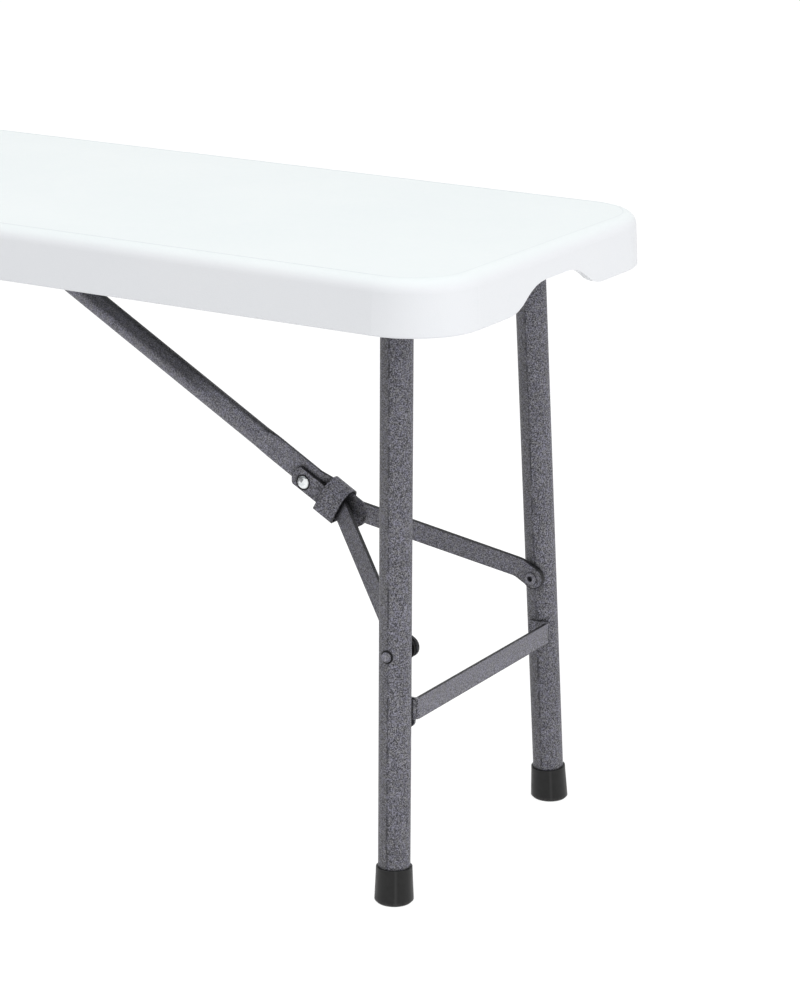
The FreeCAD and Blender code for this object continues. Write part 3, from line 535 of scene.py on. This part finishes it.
def bead_ring(shape, centre, along, radius):
    """Ring of points round a bead that runs along a direction."""
    across = along.orthogonal().normalized()
    turn = along.cross(across)
    ring = []
    for k in range(BEAD_SIDES):
        angle = math.tau * k / BEAD_SIDES
        offset = across * math.cos(angle) + turn * math.sin(angle)
        ring.append(shape.verts.new(centre + offset * radius))
    return ring


def bead_mesh(name, paths):
    """Rippled beads, one along each path and as thick as it says, with thinner closed ends."""
    shape = bmesh.new()
    for path, size in paths:
        last = len(path) - 1
        rings = []
        for i, centre in enumerate(path):
            along = (path[min(i + 1, last)] - path[max(i - 1, 0)]).normalized()
            swell = 1 + WELD_RIPPLE * (-1) ** i
            radius = size * (WELD_END if i in (0, last) else swell)
            rings.append(bead_ring(shape, centre, along, radius))
        for before, after in zip(rings, rings[1:]):
            for k in range(BEAD_SIDES):
                beside = (k + 1) % BEAD_SIDES
                shape.faces.new((before[k], before[beside], after[beside], after[k]))
        shape.faces.new(list(reversed(rings[0])))
        shape.faces.new(rings[-1])
    bmesh.ops.recalc_face_normals(shape, faces=shape.faces)
    mesh = bpy.data.meshes.new(name)
    shape.to_mesh(mesh)
    shape.free()
    for face in mesh.polygons:
        face.use_smooth = True
    return mesh


def circle(radius):
    """Points of a circle, as pairs, whose last point is its first."""
    turns = [math.tau * i / CIRCLE_STEPS for i in range(CIRCLE_STEPS + 1)]
    return [(radius * math.cos(t), radius * math.sin(t)) for t in turns]


def leg_rivet_shadow_ring(end, side):
    """Circle round the rivet head on a leg's outer side, bent to the tube."""
    top, down = leg_line(end, side)
    low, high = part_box(end + "_leg_rivets")
    centre = at_height(top, down, (low[Z] + high[Z]) / 2)
    outward = math.copysign(1.0, top.y)
    path = []
    for x, z in circle(LEG_SHADOW_RING):
        path.append(centre + down * z + Vector((x, outward * math.sqrt(LEG_RADIUS ** 2 - x ** 2), 0)))
    return path


def knee_rivet_shadow_ring(end, outward):
    """Circle round one head of the knee rivet, on the bar's face."""
    low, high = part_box(end + "_knee_rivet")
    face = (high[Y] if outward > 0 else low[Y]) - outward * KNEE_HEAD
    middle = Vector(((low[X] + high[X]) / 2, face, (low[Z] + high[Z]) / 2))
    return [middle + Vector((x, 0, z)) for x, z in circle(KNEE_SHADOW_RING)]


def make_rivet_shadow_rings():
    """Dark rings round the rivet heads, painted as the shadow under them, which move with what the
    rivets are fixed in.
    """
    # Painted shadow: the rings' near-black coat
    paint = hammered_paint("rivet_shadow_paint", (0.020, 0.008), relief=0.2)
    for end in ("right", "left"):
        around_legs = [(leg_rivet_shadow_ring(end, side), SHADOW_RING_RADIUS) for side in ("front", "back")]
        around_knee = [(knee_rivet_shadow_ring(end, outward), SHADOW_RING_RADIUS) for outward in (-1, 1)]
        for name, paths, body in ((end + "_leg_rivet_shadow_rings", around_legs, end + "_leg"),
                                  (end + "_knee_rivet_shadow_rings", around_knee, end + "_lower_brace")):
            seams = linked(name, bead_mesh(name, paths))
            seams.data.materials.append(paint)
            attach(seams, body)


def make_welds(finish):
    """Weld beads of both leg sets: three on each leg."""
    for end in ("right", "left"):
        paths = []
        for side in ("front", "back"):
            paths.append((saddle_path(end, side), WELD_RADIUS))
            paths.append((ear_path(end, side), WELD_RADIUS))
            paths.append((wedge_path(end, side), WEDGE_WELD_RADIUS))
        name = end + "_leg_welds"
        welds = linked(name, bead_mesh(name, paths))
        welds.data.materials.append(finish)
        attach(welds, end + "_leg")


def white_rays(tree):
    """Mask that is 1 for rays of the camera, of gloss and through glass, and 0 for other light."""
    path = tree.nodes.new("ShaderNodeLightPath")
    seen = path.outputs["Is Camera Ray"]
    for kind in ("Is Glossy Ray", "Is Transmission Ray"):
        either = tree.nodes.new("ShaderNodeMath")
        either.operation = "MAXIMUM"
        tree.links.new(seen, either.inputs[0])
        tree.links.new(path.outputs[kind], either.inputs[1])
        seen = either.outputs[0]
    return seen


def floor_material():
    """Diffuse floor that the camera sees as white, with the object's shadow left in it."""
    m = Nodes("floor")
    m.set(Base_Color=FLOOR_TONE, Roughness=0.9, Specular_IOR_Level=0.0)
    glow = m.add("ShaderNodeEmission", {"Color": (1, 1, 1, 1), "Strength": FLOOR_GLOW})
    share = m.times(white_rays(m.tree), FLOOR_WHITE)
    mix = m.add("ShaderNodeMixShader", {0: share, 1: m.shader.outputs[0], 2: glow.outputs[0]})
    m.put(m.output.inputs["Surface"], mix.outputs[0])
    return m.material


def make_floor():
    """Plain square floor round the middle of the bench."""
    half = FLOOR_SIZE / 2
    mesh = bpy.data.meshes.new("floor")
    corners = [(-half, -half, 0), (half, -half, 0), (half, half, 0), (-half, half, 0)]
    mesh.from_pydata(corners, [], [(0, 1, 2, 3)])
    mesh.materials.append(floor_material())
    floor = linked("floor", mesh)


def make_world():
    """White behind everything, with an even neutral light on the object."""
    world = bpy.data.worlds.new("studio")
    bpy.context.scene.world = world
    world.use_nodes = True
    tree = world.node_tree
    tree.nodes.clear()
    light = tree.nodes.new("ShaderNodeBackground")
    light.inputs["Color"].default_value = (1, 1, 1, 1)
    light.inputs["Strength"].default_value = WORLD_LEVEL
    white = tree.nodes.new("ShaderNodeBackground")
    white.inputs["Color"].default_value = (1, 1, 1, 1)
    white.inputs["Strength"].default_value = 1.0
    mix = tree.nodes.new("ShaderNodeMixShader")
    output = tree.nodes.new("ShaderNodeOutputWorld")
    tree.links.new(white_rays(tree), mix.inputs[0])
    tree.links.new(light.outputs[0], mix.inputs[1])
    tree.links.new(white.outputs[0], mix.inputs[2])
    tree.links.new(mix.outputs[0], output.inputs["Surface"])


def area_light(name, place, size, watts):
    """Rectangular lamp that looks at the lamps' common target."""
    data = bpy.data.lights.new(name, "AREA")
    data.shape = "RECTANGLE"
    data.size, data.size_y = size
    data.energy = watts
    lamp = linked(name, data)
    lamp.location = place
    lamp.rotation_mode = "QUATERNION"
    lamp.rotation_quaternion = (Vector(LAMP_TARGET) - Vector(place)).to_track_quat("-Z", "Y")
    return lamp


def make_lights():
    """Large lamp over the front, and a smaller one at the right whose image isn't mirrored.

    Seen from the left end, that image would bleach the seat."""
    area_light("overhead", OVERHEAD_PLACE, OVERHEAD_SIZE, OVERHEAD_WATTS)
    side = area_light("front_right", SIDE_PLACE, SIDE_SIZE, SIDE_WATTS)
    side.visible_glossy = False


make_camera()
tube_paint = hammered_paint("hammered_paint", TUBE_TONES, relief=0.8)
paint_nodes(tube_paint)
make_welds(tube_paint)
make_rivet_shadow_rings()
make_floor()
make_world()
make_lights()
bpy.context.scene.view_settings.view_transform = "Standard"
